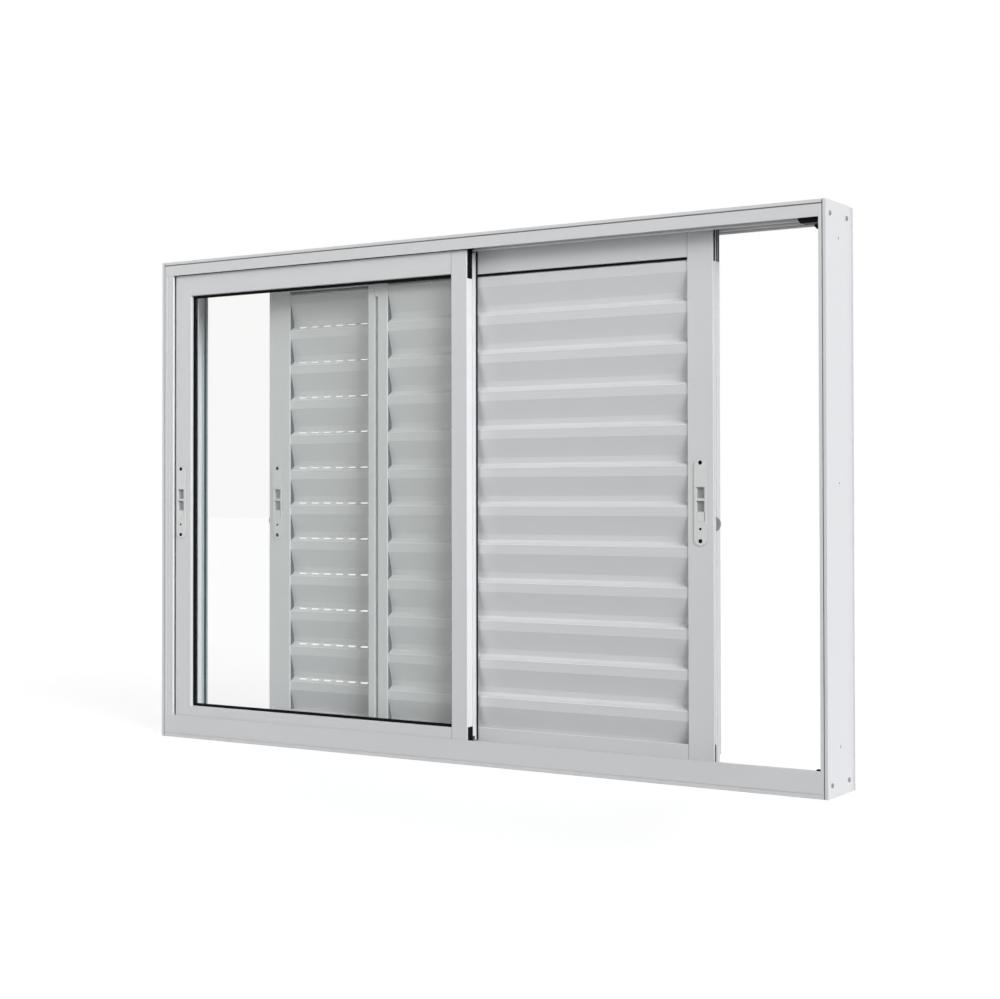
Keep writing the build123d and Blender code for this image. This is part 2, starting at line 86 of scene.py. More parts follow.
capPlastic = {
    **gasketRubber,
    "sheenColour": (0.006, 0.006, 0.008, 1),
    "roughness": (0.35, 0.55),
    "specular": 0.06,
    "grainSize": 0.7 * mm,
}

latchPlastic = {
    "colour": (0.80, 0.80, 0.79, 1),
    "sheenColour": (0.84, 0.84, 0.83, 1),
    "roughness": (0.26, 0.4),
    "grainSize": 0.6 * mm,
    "grainHeight": 0.008 * mm,
    "edgeRadius": 0.5 * mm,
}

nylon = {
    "colour": (0.62, 0.61, 0.56, 1),
    "sheenColour": (0.70, 0.69, 0.65, 1),
    "roughness": (0.35, 0.5),
    "grainSize": 0.8 * mm,
    "grainHeight": 0.01 * mm,
    "edgeRadius": 0.3 * mm,
}

castMetal = {
    "colour": (0.30, 0.30, 0.31, 1),
    "roughness": (0.35, 0.55),
    "metallic": 0.6,
    "grainSize": 0.5 * mm,
    "grainHeight": 0.02 * mm,
    "edgeRadius": 0.4 * mm,
}

screwSteel = {
    "colour": (0.24, 0.24, 0.245, 1),
    "sheenColour": (0.36, 0.36, 0.365, 1),
    "roughness": (0.22, 0.4),
    "metallic": 0.9,
    "grainSize": 0.4 * mm,
    "grainHeight": 0.01 * mm,
    "edgeRadius": 0.2 * mm,
}

# dark grey for the slats' end plates: painted shade in the stiles' pockets
slatEndShadeGrey = {
    "colour": (0.10, 0.105, 0.115, 1),
    "sheenColour": (0.14, 0.145, 0.155, 1),
    "roughness": (0.6, 0.8),
    "specular": 0.2,
    "grainSize": 0.6 * mm,
    "grainHeight": 0.01 * mm,
    "edgeRadius": 0.1 * mm,
}

# whiter than the coat: painted light on the fin beads, the slat and rail beads and the left jamb's channel
paintedLightWhite = {
    "colour": (0.90, 0.91, 0.92, 1),
    "sheenColour": (0.93, 0.94, 0.95, 1),
    "roughness": (0.4, 0.55),
    "grainSize": 0.8 * mm,
    "grainHeight": 0.006 * mm,
    "edgeRadius": 0.2 * mm,
}

# grey for the deep faces of the finger scoops: painted shade
scoopPaintedShade = {
    "colour": (0.40, 0.405, 0.41, 1),
    "sheenColour": (0.46, 0.465, 0.47, 1),
    "roughness": (0.5, 0.7),
    "specular": 0.2,
    "grainSize": 0.5 * mm,
    "grainHeight": 0.01 * mm,
    "edgeRadius": 0.2 * mm,
}

carrierPlastic = {
    "colour": (0.56, 0.56, 0.565, 1),
    "sheenColour": (0.60, 0.60, 0.605, 1),
    "roughness": (0.45, 0.6),
    "grainSize": 0.8 * mm,
    "grainHeight": 0.006 * mm,
    "edgeRadius": 0.2 * mm,
}

# the left carrier's blue is painted light: the blue cast on faces in shade
carrierBlueLight = {
    **carrierPlastic,
    "colour": (0.56, 0.69, 0.74, 1),
    "sheenColour": (0.60, 0.73, 0.78, 1),
}

# grey painted shade for the jambs' groove beds and round the feet of the latch plates
greyPaintedShade = {
    "colour": (0.27, 0.275, 0.28, 1),
    "sheenColour": (0.33, 0.335, 0.34, 1),
    "roughness": (0.75, 0.95),
    "specular": 0.1,
    "grainSize": 0.4 * mm,
    "grainHeight": 0.03 * mm,
    "edgeRadius": 0.05 * mm,
}

# darker: painted shade in the head's groove bed, and the dark sealant in the rails' joints
darkSealantAndGrooveShade = {
    **greyPaintedShade,
    "colour": (0.22, 0.222, 0.225, 1),
    "sheenColour": (0.27, 0.272, 0.275, 1),
}

brushFibre = {
    "colour": (0.005, 0.005, 0.006, 1),
    "sheenColour": (0.02, 0.02, 0.022, 1),
    "roughness": (0.5, 0.8),
    "specular": 0.2,
    "grainSize": 0.5 * mm,
    "grainHeight": 0.01 * mm,
    "edgeRadius": 0.05 * mm,
}

paneGlass = {
    "tint": (0.93, 0.937, 0.926, 1),
    "roughness": 0.0,
    "ior": 1.45,
    "shadowTint": (0.94, 0.955, 0.95, 1),
    "waveSize": 0.35,  # slow waves of drawn glass
    "waveHeight": 0.012 * mm,
}

mouldedCloudSize = 14 * mm
noiseRange = (0.3, 0.7)  # nearly all of a noise's values lie between these
bevelSamples = 4


def newMaterial(name):
    material = bpy.data.materials.new(name)
    material.use_nodes = True
    tree = material.node_tree
    tree.nodes.clear()
    output = tree.nodes.new("ShaderNodeOutputMaterial")
    return material, tree, output


def addNode(tree, kind, **sockets):
    node = tree.nodes.new("ShaderNode" + kind)
    for name, value in sockets.items():
        node.inputs[name.replace("_", " ")].default_value = value
    return node


def noiseField(tree, size, stretch=(1, 1, 1), detail=3.0, roughness=0.5):
    place = tree.nodes.new("ShaderNodeTexCoord")
    mapping = tree.nodes.new("ShaderNodeMapping")
    mapping.inputs["Scale"].default_value = [s / size for s in stretch]
    noise = addNode(tree, "TexNoise", Scale=1.0, Detail=detail, Roughness=roughness)
    tree.links.new(place.outputs["Object"], mapping.inputs["Vector"])
    tree.links.new(mapping.outputs["Vector"], noise.inputs["Vector"])
    return noise.outputs["Fac"]


def spread(tree, source, low, high):
    node = tree.nodes.new("ShaderNodeMapRange")
    node.inputs["From Min"].default_value, node.inputs["From Max"].default_value = noiseRange
    node.inputs["To Min"].default_value = low
    node.inputs["To Max"].default_value = high
    tree.links.new(source, node.inputs["Value"])
    return node.outputs["Result"]


def mixColours(tree, source, first, second):
    mix = tree.nodes.new("ShaderNodeMix")
    mix.data_type = "RGBA"  # its two colours are sockets 6 and 7, the mixed one is output 2
    mix.inputs[6].default_value = first
    mix.inputs[7].default_value = second
    tree.links.new(source, mix.inputs["Factor"])
    return mix.outputs[2]


def bumps(tree, edgeRadius, layers):
    # rounded edges first, then one bump on the other
    bevel = tree.nodes.new("ShaderNodeBevel")
    bevel.samples = bevelSamples
    bevel.inputs["Radius"].default_value = edgeRadius
    normal = bevel.outputs["Normal"]
    for source, height in layers:
        bump = tree.nodes.new("ShaderNodeBump")
        bump.inputs["Distance"].default_value = height
        tree.links.new(source, bump.inputs["Height"])
        tree.links.new(normal, bump.inputs["Normal"])
        normal = bump.outputs["Normal"]
    return normal


def makePowderCoat(name, values, stretch):
    material, tree, output = newMaterial(name)
    shader = tree.nodes.new("ShaderNodeBsdfPrincipled")
    shader.inputs["Specular IOR Level"].default_value = values["specular"]
    colour = values["colour"]
    darker = [c * (1 - values["shadeVariation"]) for c in colour[:3]] + [1]
    cloud = noiseField(tree, values["cloudSize"], detail=2)
    tree.links.new(mixColours(tree, cloud, darker, colour), shader.inputs["Base Color"])
    low, high = values["roughness"]
    peel = noiseField(tree, values["peelSize"], detail=2)
    lines = noiseField(tree, values["dieLineSize"], stretch, detail=1)
    tree.links.new(spread(tree, peel, low, high), shader.inputs["Roughness"])
    layers = [(peel, values["peelHeight"]), (lines, values["dieLineHeight"])]
    tree.links.new(bumps(tree, values["edgeRadius"], layers), shader.inputs["Normal"])
    tree.links.new(shader.outputs["BSDF"], output.inputs["Surface"])
    return material


def makeMoulded(name, values):
    material, tree, output = newMaterial(name)
    shader = tree.nodes.new("ShaderNodeBsdfPrincipled")
    shader.inputs["Metallic"].default_value = values.get("metallic", 0)
    shader.inputs["Specular IOR Level"].default_value = values.get("specular", 0.5)
    cloud = noiseField(tree, mouldedCloudSize, detail=3)
    light = values.get("sheenColour", values["colour"])
    tree.links.new(mixColours(tree, cloud, values["colour"], light), shader.inputs["Base Color"])
    grain = noiseField(tree, values["grainSize"], detail=3)
    low, high = values["roughness"]
    tree.links.new(spread(tree, grain, low, high), shader.inputs["Roughness"])
    layers = [(grain, values["grainHeight"])]
    tree.links.new(bumps(tree, values["edgeRadius"], layers), shader.inputs["Normal"])
    tree.links.new(shader.outputs["BSDF"], output.inputs["Surface"])
    return material


def makeGlass(name, values):
    # lamps shine through the pane, so what stands behind it is lit
    material, tree, output = newMaterial(name)
    shader = tree.nodes.new("ShaderNodeBsdfPrincipled")
    shader.inputs["Base Color"].default_value = values["tint"]
    shader.inputs["Roughness"].default_value = values["roughness"]
    shader.inputs["IOR"].default_value = values["ior"]
    shader.inputs["Transmission Weight"].default_value = 1
    wave = noiseField(tree, values["waveSize"], detail=1)
    bump = tree.nodes.new("ShaderNodeBump")
    bump.inputs["Distance"].default_value = values["waveHeight"]
    tree.links.new(wave, bump.inputs["Height"])
    tree.links.new(bump.outputs["Normal"], shader.inputs["Normal"])
    clear = addNode(tree, "BsdfTransparent", Color=values["shadowTint"])
    path = tree.nodes.new("ShaderNodeLightPath")
    pick = tree.nodes.new("ShaderNodeMixShader")
    either = tree.nodes.new("ShaderNodeMath")
    either.operation = "MAXIMUM"
    tree.links.new(path.outputs["Is Shadow Ray"], either.inputs[0])
    tree.links.new(path.outputs["Is Diffuse Ray"], either.inputs[1])
    tree.links.new(either.outputs["Value"], pick.inputs["Fac"])
    tree.links.new(shader.outputs["BSDF"], pick.inputs[1])
    tree.links.new(clear.outputs["BSDF"], pick.inputs[2])
    tree.links.new(pick.outputs["Shader"], output.inputs["Surface"])
    return material


dieLineStretch = 0.01  # die lines are a hundred times as long as they are wide
finishes = {
    "coatAlongX": makePowderCoat("whiteCoatAlongX", powderCoat, (dieLineStretch, 1, 1)),
    "coatUpright": makePowderCoat("whiteCoatUpright", powderCoat, (1, 1, dieLineStretch)),
    "rubber": makeMoulded("blackRubber", gasketRubber),
    "blackPlastic": makeMoulded("blackCapPlastic", capPlastic),
    "whitePlastic": makeMoulded("whiteLatchPlastic", latchPlastic),
    "nylon": makeMoulded("rollerNylon", nylon),
    "metal": makeMoulded("castLatchMetal", castMetal),
    "steel": makeMoulded("zincScrewSteel", screwSteel),
    "fibre": makeMoulded("brushFibre", brushFibre),
    "darkJointAndShade": makeMoulded("darkJointSealantAndPaintedShade", darkSealantAndGrooveShade),
    "greyShade": makeMoulded("greyPaintedShadeStrip", greyPaintedShade),
    "slatEndShade": makeMoulded("greyPaintedSlatEndShade", slatEndShadeGrey),
    "scoopShade": makeMoulded("greyPaintedScoopShade", scoopPaintedShade),
    "greyCarrier": makeMoulded("greyCarrier", carrierPlastic),
    "carrierPaintedBlueLight": makeMoulded("carrierPaintedBlueLight", carrierBlueLight),
    "paintedLight": makeMoulded("whitePaintedLight", paintedLightWhite),
    "glass": makeGlass("clearPane", paneGlass),
}


def dress(obj, finish):
    obj.data.materials.clear()
    obj.data.materials.append(finishes[finish])


def finishOf(node):
    if node in alongX:
        return "coatAlongX"
    if node in upright:
        return "coatUpright"
    if node == "glass_pane":
        return "glass"
    if "gasket" in node:
        return "rubber"
    if node.endswith(("latch_plate", "thumb_slider")):
        return "whitePlastic"
    if node.endswith("_rollers"):
        return "nylon"
    if node.endswith("latch_hook"):
        return "metal"
    return "blackPlastic"


for nodeName, nodeObject in nodes.items():
    dress(nodeObject, finishOf(nodeName))
print("finishes made:", len(finishes))


def newPiece(name, mesh, finish, body):
    data = bpy.data.meshes.new(name)
    bmesh.ops.recalc_face_normals(mesh, faces=mesh.faces)
    mesh.to_mesh(data)
    mesh.free()
    obj = bpy.data.objects.new(name, data)
    scene.collection.objects.link(obj)
    dress(obj, finish)
    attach(obj, body)
    return obj


def boxOf(node):
    low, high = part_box(node)
    return Vector(low), Vector(high)


def jambFace(jamb):
    # the outer face of a jamb along X, and the way that it looks
    low, high = boxOf(jamb + "_jamb")
    return (high.x, 1) if jamb == "right" else (low.x, -1)


def shrink(span, clear):
    return span[0] + clear, span[1] - clear


blockBevel = {"segments": 2, "profile": 0.6, "affect": "EDGES"}


def addBlock(mesh, low, high, bevel=0.0):
    made = bmesh.ops.create_cube(mesh, size=1)
    verts = made["verts"]
    bmesh.ops.scale(mesh, vec=Vector(high) - Vector(low), verts=verts)
    bmesh.ops.translate(mesh, vec=(Vector(high) + Vector(low)) / 2, verts=verts)
    if bevel:
        edges = list(dict.fromkeys(e for v in verts for e in v.link_edges))  # each once, in order
        bmesh.ops.bevel(mesh, geom=edges, offset=bevel, **blockBevel)


def addExtrusion(mesh, outline, start, end, axis="X"):
    # outline is in the two other axes, in their order
    def corner(along, first, second):
        return (along, first, second) if axis == "X" else (first, second, along)

    rings = [[mesh.verts.new(corner(along, *point)) for point in outline] for along in (start, end)]
    for ring in rings:
        mesh.faces.new(ring)
    count = len(outline)
    for i in range(count):
        j = (i + 1) % count
        mesh.faces.new((rings[0][i], rings[0][j], rings[1][j], rings[1][i]))


def addLathe(mesh, profile, segments):
    # profile runs from the axis outwards, as (radius, height); the last ring is closed
    rings = []
    for radius, height in profile:
        if radius == 0:
            rings.append([mesh.verts.new((0, 0, height))])
            continue
        turns = [2 * math.pi * i / segments for i in range(segments)]
        points = [(radius * math.cos(a), radius * math.sin(a), height) for a in turns]
        rings.append([mesh.verts.new(point) for point in points])
    for inner, outer in zip(rings, rings[1:]):
        for i in range(segments):
            j = (i + 1) % segments
            if len(inner) == 1:
                mesh.faces.new((inner[0], outer[i], outer[j]))
            else:
                mesh.faces.new((inner[i], outer[i], outer[j], inner[j]))
    mesh.faces.new(rings[-1])


def cutCross(mesh, values):
    # the cross recess of a screw head, cut by a solid cross
    cutter = bmesh.new()
    reach, width, depth = values["crossReach"], values["crossWidth"], values["crossDepth"]
    top = values["profile"][0][1]
    for long, wide in ((reach, width), (width, reach)):
        addBlock(cutter, (-long / 2, -wide / 2, top - depth), (long / 2, wide / 2, top + depth))
    objects = []
    for name, made in (("screwHead", mesh), ("crossCutter", cutter)):
        data = bpy.data.meshes.new(name)
        bmesh.ops.recalc_face_normals(made, faces=made.faces)
        made.to_mesh(data)
        made.free()
        objects.append(bpy.data.objects.new(name, data))
        scene.collection.objects.link(objects[-1])
    head, cross = objects
    modifier = head.modifiers.new("cross", "BOOLEAN")
    modifier.object = cross
    modifier.operation = "DIFFERENCE"
    modifier.solver = "EXACT"
    modifier.use_self = True
    bpy.context.view_layer.update()
    shape = bpy.data.meshes.new_from_object(head.evaluated_get(bpy.context.evaluated_depsgraph_get()))
    for obj in objects:
        bpy.data.objects.remove(obj)
    return shape


def placeCopies(shape, places, facing):
    # facing is the way that the top of the shape looks
    mesh = bmesh.new()
    turn = Vector(facing).to_track_quat("Z", "Y").to_matrix().to_4x4()
    for place in places:
        first = len(mesh.verts)
        mesh.from_mesh(shape)
        mesh.verts.ensure_lookup_table()
        bmesh.ops.transform(mesh, matrix=Matrix.Translation(place) @ turn, verts=mesh.verts[first:])
    return mesh


# screws that hold the jambs to the head and the sill
panScrew = {
    "profile": [
        (0, 2.3 * mm),
        (1.8 * mm, 2.2 * mm),
        (3.2 * mm, 1.8 * mm),
        (4.2 * mm, 1.1 * mm),
        (4.5 * mm, 0),
    ],
    "segments": 32,
    "crossReach": 4.6 * mm,
    "crossWidth": 0.9 * mm,
    "crossDepth": 1.4 * mm,
    "depths": (18 * mm, 91 * mm),
    "fromTop": 22.5 * mm,
    "fromFoot": 21.7 * mm,
}


def makeFrameScrews(values):
    mesh = bmesh.new()
    addLathe(mesh, values["profile"], values["segments"])
    shape = cutCross(mesh, values)
    for jamb in jambs:
        low, high = boxOf(jamb + "_jamb")
        heights = (low.z + values["fromFoot"], high.z - values["fromTop"])
        face, side = jambFace(jamb)
        places = [(face, low.y + depth, height) for depth in values["depths"] for height in heights]
        screws = placeCopies(shape, places, (side, 0, 0))
        newPiece(jamb + "_frame_screws", screws, "steel", "frame")


# black countersunk screws, their black also painted shade of the countersinks, and a little black disc in
# each latch plate, above or below its middle, painted shade of a small hole
plateScrew = {
    "profile": [(0, 0.2 * mm), (3.2 * mm, 0.2 * mm), (3.7 * mm, 0.1 * mm), (3.8 * mm, 0)],
    "segments": 32,
    "crossReach": 4.4 * mm,
    "crossWidth": 0.9 * mm,
    "crossDepth": 0.15 * mm,
    "heights": (70 * mm, -68 * mm),
}
plateHoleShade = {
    "profile": [
        (0, 0.05 * mm),
        (1.6 * mm, 0.05 * mm),
        (1.8 * mm, 0.2 * mm),
        (2.2 * mm, 0.2 * mm),
        (2.4 * mm, 0),
    ],
    "segments": 24,
    "height": -46.7 * mm,
}


def makePlateScrews(screw, holeShade):
    mesh = bmesh.new()
    addLathe(mesh, screw["profile"], screw["segments"])
    screwShape = cutCross(mesh, screw)
    mesh = bmesh.new()
    addLathe(mesh, holeShade["profile"], holeShade["segments"])
    holeShadeShape = bpy.data.meshes.new("holeShadeShape")
    mesh.to_mesh(holeShadeShape)
    mesh.free()
    for leaf, body in bodyOfLeaf.items():
        low, high = boxOf(leaf + "_latch_plate")
        middle = (low + high) / 2
        places = [(middle.x, low.y, middle.z + height) for height in screw["heights"]]
        screws = placeCopies(screwShape, places, (0, -1, 0))
        newPiece(leaf + "_plate_screws", screws, "blackPlastic", body)
        holeShades = placeCopies(holeShadeShape, [(middle.x, low.y, middle.z + holeShade["height"])], (0, -1, 0))
        newPiece(leaf + "_plate_hole_shade", holeShades, "blackPlastic", body)


# brush seal on the back of the glazed leaf's meeting stile, in a white holder
brushSeal = {
    "stripWidth": 2.5 * mm,
    "sillStep": 3 * mm,  # how far the strip reaches down past the sill's top
    "headGap": 0.5 * mm,
    "finClear": 0.5 * mm,
    "filletStart": 15 * mm,  # above the foot of the strip
    "holder": 3.9 * mm,
    "bevel": 0.3 * mm,
    "backing": 1.2 * mm,
    "backingInset": 0.1 * mm,
    "overhang": 3.3 * mm,  # of the black edge past the stile, as wide as its line in the photograph: black brush, and painted contact shade where it meets the next leaf
    "reach": 2.6 * mm,
    "reachShare": (0.86, 1),
    "fibreWidth": 0.3 * mm,
    "edgeClear": (0.45 * mm, 0.3 * mm),
    "lean": 0.3 * mm,
    "fibresPerMetre": 8000,
    "seed": 5,
}


def makeBrushSeal(values):
    low, high = boxOf("glass_meeting_stile")
    foot = boxOf("sill_track")[1].z - values["sillStep"]
    top = boxOf("head_track")[0].z - values["headGap"]
    left = high.x - values["stripWidth"]
    seat = high.y + values["holder"]
    mesh = bmesh.new()
    addBlock(mesh, (left, high.y + values["finClear"], foot), (high.x, seat, top), values["bevel"])
    fillet = high.y + 2 * values["finClear"]  # a thin block between the stile and the holder
    addBlock(mesh, (left, high.y, foot + values["filletStart"]), (high.x, fillet, top))
    newPiece("glass_brush_holder", mesh, "coatUpright", "glass_leaf")
    mesh = bmesh.new()
    edge = high.x + values["overhang"]
    back = seat + values["backing"]
    addBlock(mesh, (left + values["backingInset"], seat, foot), (edge, back, top))
    dice = random.Random(values["seed"])
    half, lean = values["fibreWidth"] / 2, values["lean"]
    root = seat + values["backing"] / 2
    leftClear, rightClear = values["edgeClear"]
    for _ in range(int(values["fibresPerMetre"] * (top - foot))):
        x = dice.uniform(left + leftClear, edge - rightClear)
        z = dice.uniform(foot + half, top - half)
        reach = seat + values["reach"] * dice.uniform(*values["reachShare"])
        tip = (x + dice.uniform(-lean, lean), reach, z + dice.uniform(-lean, lean))
        corners = [(x - half, root, z - half), (x + half, root, z - half), (x, root, z + half)]
        base = [mesh.verts.new(corner) for corner in corners]
        point = mesh.verts.new(tip)
        mesh.faces.new(base)
        for i in range(3):
            mesh.faces.new((base[i], base[(i + 1) % 3], point))
    newPiece("glass_brush_seal", mesh, "fibre", "glass_leaf")


# rubber lips in front of the slats, at the top rails
slatLip = {
    "front": 0.35 * mm,  # behind the face of the rail
    "thickness": 1.25 * mm,
    "round": 0.5 * mm,
    "reach": 3.9 * mm,  # below the top rail
}


def makeSlatLips(values):
    # from the rail's lower edge to a rounded end
    near, far = values["front"], values["front"] + values["thickness"]
    middle, reach, bend = (near + far) / 2, values["reach"], values["round"]
    for leaf in louvreLeaves:
        low, high = boxOf(leaf + "_top_rail")
        points = [(near, 0), (near, bend - reach), (middle, -reach), (far, bend - reach), (far, 0)]
        mesh = bmesh.new()
        addExtrusion(mesh, [(low.y + y, low.z + z) for y, z in points], low.x, high.x)
        newPiece(leaf + "_top_lip", mesh, "rubber", bodyOfLeaf[leaf])


# fillers in the top of the deep grooves of the louvre leaves' meeting stiles
grooveFiller = {
    "fromEdge": (15.8 * mm, 24.0 * mm),
    "depths": (0.5 * mm, 9.8 * mm),
    "foot": 0.9,  # height of the filler's foot
    "bevel": 0.4 * mm,
}


def makeGrooveFillers(values):
    near, far = values["fromEdge"]
    for leaf, side in (("inner", 1), ("outer", -1)):
        low, high = boxOf(leaf + "_meeting_stile")
        edge = low.x if side > 0 else high.x
        ends = sorted((edge + side * near, edge + side * far))
        front, back = (low.y + depth for depth in values["depths"])
        mesh = bmesh.new()
        addBlock(mesh, (ends[0], front, values["foot"]), (ends[1], back, high.z), values["bevel"])
        newPiece(leaf + "_groove_filler", mesh, "whitePlastic", bodyOfLeaf[leaf])


# at the back edge of each jamb: a carrier with a black weather seal, and an outer fin
jambSeal = {
    # the left carrier's blue tint is painted light
    "carrierFinish": {"left": "carrierPaintedBlueLight", "right": "greyCarrier"},
    "carrierWidth": 6.2 * mm,
    "width": 4.4 * mm,
    "lipWidths": {"left": 3.6 * mm, "right": 0.4 * mm},
    "lipWall": 1.2 * mm,
    "thickness": 2.2 * mm,
    "round": 0.6 * mm,
    "lean": 6 * mm,  # how far the back of the jamb leans in
    "wall": 1.6 * mm,
}
backFin = {
    "leanStart": 103 * mm,  # behind the jamb's front, as the lengths below are
    "startClear": 0.24 * mm,
    "lean": 6 * mm,
    "grooveStart": 110.4 * mm,
    "topGrooveStart": 107.6 * mm,
    "grooveEnd": 118.7 * mm,
    "topHeight": 25.5 * mm,  # the groove is wider in this much at the top
    "clear": 0.08 * mm,
}


def makeJambSeals(values):
    foot = boxOf("sill_track")[1].z
    top = boxOf("head_track")[0].z
    for jamb in jambs:
        low, high = boxOf(jamb + "_jamb")
        face, side = jambFace(jamb)
        start = face - side * (values["wall"] + values["lean"])
        root = start - side * values["carrierWidth"]
        end = root - side * values["width"]
        lip = end - side * values["lipWidths"][jamb]
        far = high.y - values["lipWall"]
        near, bend = far - values["thickness"], values["round"]
        outline = [(root, near), (end + side * bend, near), (end, near + bend), (end, far), (root, far)]
        mesh = bmesh.new()
        addExtrusion(mesh, outline, foot, top, axis="Z")
        newPiece(jamb + "_jamb_seal", mesh, "rubber", "frame")
        tip = root + side * bend
        outline = [(start, near), (tip, near), (root, near + bend), (root, far), (lip, far)]
        outline += [(lip, high.y), (start, high.y)]
        mesh = bmesh.new()
        addExtrusion(mesh, outline, foot, top, axis="Z")
        finish = values["carrierFinish"][jamb]
        newPiece(jamb + "_seal_carrier", mesh, finish, "frame")


def makeBackFins(values):
    # each fin fills the corner that the jamb's leaning strip leaves, but for a groove
    for jamb in jambs:
        low, high = boxOf(jamb + "_jamb")
        face, side = jambFace(jamb)
        wholeDepth, grooveEnd = high.y - low.y, values["grooveEnd"]

        def leanAt(depth):
            share = (depth - values["leanStart"]) / (wholeDepth - values["leanStart"])
            return face - side * (values["lean"] * share - values["clear"])

        mesh = bmesh.new()
        turn = high.z - values["topHeight"]
        spans = ((low.z, turn, values["grooveStart"]), (turn, high.z, values["topGrooveStart"]))
        for foot, top, grooveStart in spans:
            points = [(face, values["leanStart"] + values["startClear"]), (face, grooveStart)]
            points += [(leanAt(grooveStart), grooveStart), (leanAt(grooveEnd), grooveEnd), (face, grooveEnd)]
            points += [(face, wholeDepth), (leanAt(wholeDepth) - side * values["clear"], wholeDepth)]
            outline = [(x, low.y + depth) for x, depth in points]
            addExtrusion(mesh, outline, foot, top, axis="Z")
        newPiece(jamb + "_back_fin", mesh, "coatUpright", "frame")


# dark strips in the bed of the plaster grooves of the head and the jambs: painted shade of the grooves
grooveShadeStrip = {
    "fromHeadEdge": (5.6 * mm, 8 * mm),
    "fromJambEdge": (5.4 * mm, 7.8 * mm),
    "bed": 1.2 * mm,  # how deep the grooves are
    "bedClear": 0.02 * mm,
    "thickness": 0.12 * mm,
    "clear": 0.08 * mm,
}


def makeGrooveShadeStrips(values):
    low, high = boxOf("head_track")
    near, far = shrink(values["fromHeadEdge"], values["clear"])
    back = low.y + values["bed"] - values["bedClear"]
    front = back - values["thickness"]
    mesh = bmesh.new()
    addBlock(mesh, (low.x, front, high.z - far), (high.x, back, high.z - near))
    newPiece("head_groove_shade", mesh, "darkJointAndShade", "frame")
    near, far = shrink(values["fromJambEdge"], values["clear"])
    mesh = bmesh.new()
    for jamb in jambs:
        low, high = boxOf(jamb + "_jamb")
        face, side = jambFace(jamb)
        start, end = sorted((face - side * near, face - side * far))
        addBlock(mesh, (start, front, low.z), (end, back, high.z))
    newPiece("jamb_groove_shade", mesh, "greyShade", "frame")


# dark sealant in the small grooves where a leaf's rails meet its right stile
jointSealant = {
    "width": 0.85 * mm,
    "front": 0.25 * mm,
    "back": 1 * mm,
}


def makeJointSealant(values):
    for leaf, body in bodyOfLeaf.items():
        mesh = bmesh.new()
        for rail in ("_top_rail", "_bottom_rail"):
            low, high = boxOf(leaf + rail)
            front, back = low.y + values["front"], low.y + values["back"]
            outline = [(high.x, front), (high.x + values["width"], front), (high.x, back)]
            addExtrusion(mesh, outline, low.z, high.z, axis="Z")
        newPiece(leaf + "_joint_sealant", mesh, "darkJointAndShade", body)


# beads on the feet of the head's fins, whiter than the coat as painted light where the fascia shades them
finBead = {
    "width": 3.4 * mm,
    "height": 3.2 * mm,
    "hang": 0.4,  # the share of its height that hangs below the fin, as a half round
    "turns": 10,
    "depths": (33 * mm, 66 * mm, 99 * mm),
}


def makeFinBeads(values):
    low, high = boxOf("head_track")
    mesh = bmesh.new()
    half, count = values["width"] / 2, values["turns"]
    hang = values["hang"] * values["height"]
    top = low.z + (1 - values["hang"]) * values["height"]
    turns = [math.pi * i / count for i in range(count + 1)]
    for depth in values["depths"]:
        middle = low.y + depth
        outline = [(middle + half * math.cos(a), low.z - hang * math.sin(a)) for a in turns]
        outline = [(middle + half, top)] + outline + [(middle - half, top)]
        addExtrusion(mesh, outline, boxOf("left_jamb")[1].x, boxOf("right_jamb")[0].x)
    newPiece("head_fin_beads", mesh, "paintedLight", "frame")


# black covers over the plastic caps in the sides of the lock stiles, and two dull ribs beside the
# upper cover
capCover = {
    "cover": (1.6 * mm, 7 * mm),
    "ribs": ((11.8 * mm, 15.4 * mm), (17.4 * mm, 22.6 * mm)),
    "proud": 0.35 * mm,
    "sunk": 0.1 * mm,
    "topCap": (987.4 * mm, 70.8 * mm),  # height of its top, and its length
    "footCap": (70 * mm, 40 * mm),
    "footCover": (1.6 * mm, 5 * mm),
}


def makeCapCovers(values):
    for leaf, side in (("glass", -1), ("inner", 1), ("outer", -1)):
        low, high = boxOf(leaf + "_lock_stile")
        face = high.x if side > 0 else low.x
        ends = sorted((face - side * values["sunk"], face + side * values["proud"]))
        cover, ribs = bmesh.new(), bmesh.new()
        for span, width in (("topCap", "cover"), ("footCap", "footCover")):
            (top, length), (near, far) = values[span], values[width]
            addBlock(cover, (ends[0], low.y + near, top - length), (ends[1], low.y + far, top))
        top, length = values["topCap"]
        for near, far in values["ribs"]:
            addBlock(ribs, (ends[0], low.y + near, top - length), (ends[1], low.y + far, top))
        newPiece(leaf + "_cap_covers", cover, "blackPlastic", bodyOfLeaf[leaf])
        newPiece(leaf + "_cap_ribs", ribs, "fibre", bodyOfLeaf[leaf])


# the slats' shape, to place what is added to them
slatShape = {
    "pitch": 72.25 * mm,
    "firstDrop": 4.8 * mm,  # of the first crest below the top rail
    "count": 12,
    "endThickness": 0.5 * mm,
    "endInset": 0.06 * mm,
    # outline of the hollow in front of a slat, in mm behind the leaf's face and above the crest
    "hollow": ((1.6, -19.9), (11.7, -55.3), (12.9, -66.5), (5.2, -71.6), (3.3, -72.4), (1.75, -75.3)),
    "beadRadius": 0.75 * mm,
    "beadDepth": 2.15 * mm,
    "beadDrop": 2.7 * mm,
    "beadInset": 1 * mm,
    "beadTurns": 12,
    "railBead": 0.6 * mm,  # how far the last bead lies inside the bottom rail's front edge
}


